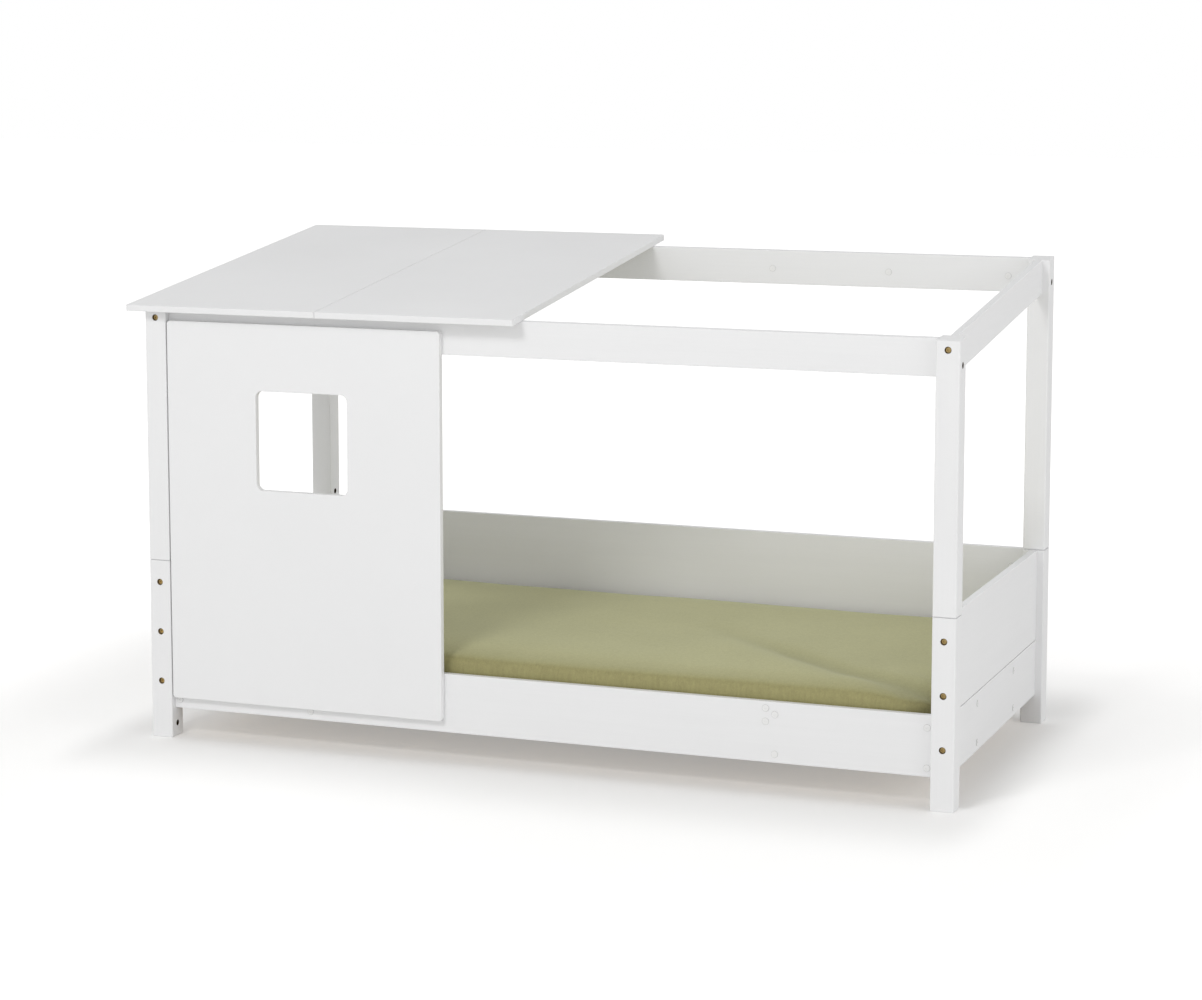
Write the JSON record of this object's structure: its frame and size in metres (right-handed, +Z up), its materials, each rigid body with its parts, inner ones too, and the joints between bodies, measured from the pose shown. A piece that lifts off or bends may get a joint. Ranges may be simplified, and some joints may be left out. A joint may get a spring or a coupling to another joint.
{
  "type": "house frame bed",
  "caption": "Floor-level child's bed in a post-and-rail house frame with a lean-to top, a wall panel with a square window, a part roof and a loose mattress.",
  "frame": {"origin": "middle of the whole bed's outer box, on the floor under the posts", "axes": "+X along the bed from the roofed end to the open end, +Y from the front to the higher back, +Z up"},
  "size_m": [2.135, 1.0836, 1.24],
  "materials": {
    "white_lacquer": "satin",
    "bare_pine": "matte",
    "beech": "matte",
    "yellow_zinc": "satin",
    "bright_zinc_steel": "satin",
    "white_cap_plastic": "matte",
    "webbing": "matte",
    "mattress_cover": "matte"
  },
  "bodies": {
    "frame": {"barrel_nuts": "yellow_zinc", "end_board_bolts": "yellow_zinc", "end_board_caps": "white_cap_plastic", "front_left_lower_post": "white_lacquer", "front_left_upper_post": "white_lacquer", "front_right_lower_post": "white_lacquer", "front_right_upper_post": "white_lacquer", "front_side_rail": "white_lacquer", "front_slat_ledge": "bare_pine", "front_top_rail": "white_lacquer", "left_lower_end_board": "white_lacquer", "left_roof_board": "white_lacquer", "left_top_rail": "white_lacquer", "left_upper_end_board": "white_lacquer", "post_cross_nuts": "bright_zinc_steel", "post_stud_inserts": "bright_zinc_steel", "post_studs": "bright_zinc_steel", "rail_cam_bolts": "bright_zinc_steel", "rail_cams": "bright_zinc_steel", "rear_left_lower_post": "white_lacquer", "rear_left_upper_post": "white_lacquer", "rear_right_lower_post": "white_lacquer", "rear_right_upper_post": "white_lacquer", "rear_side_rail": "white_lacquer", "rear_slat_ledge": "bare_pine", "rear_top_rail": "white_lacquer", "rear_upper_board": "white_lacquer", "right_lower_end_board": "white_lacquer", "right_roof_board": "white_lacquer", "right_top_rail": "white_lacquer", "right_upper_end_board": "white_lacquer", "roof_bracket_bolts": "bright_zinc_steel", "roof_bracket_screws": "bright_zinc_steel", "roof_brackets": "bright_zinc_steel", "side_rail_caps": "white_cap_plastic", "slat_01": "bare_pine", "slat_02": "bare_pine", "slat_03": "bare_pine", "slat_04": "bare_pine", "slat_05": "bare_pine", "slat_06": "bare_pine", "slat_07": "bare_pine", "slat_08": "bare_pine", "slat_09": "bare_pine", "slat_10": "bare_pine", "slat_11": "bare_pine", "slat_12": "bare_pine", "slat_13": "bare_pine", "slat_14": "bare_pine", "slat_ledge_bolts": "bright_zinc_steel", "slat_screws": "bright_zinc_steel", "slat_straps": "webbing", "sleeve_nuts": "bright_zinc_steel", "top_rail_bolts": "yellow_zinc", "top_rail_caps": "white_cap_plastic", "wall_panel": "white_lacquer", "wall_panel_screws": "bright_zinc_steel", "wooden_dowels": "beech"},
    "mattress": {"mattress": "mattress_cover"}
  },
  "joints": [
    {"name": "mattress_lift", "type": "slide", "parent": "frame", "child": "mattress", "axis": [0, 0, 1], "range_m": [0, 0.3]}
  ]
}
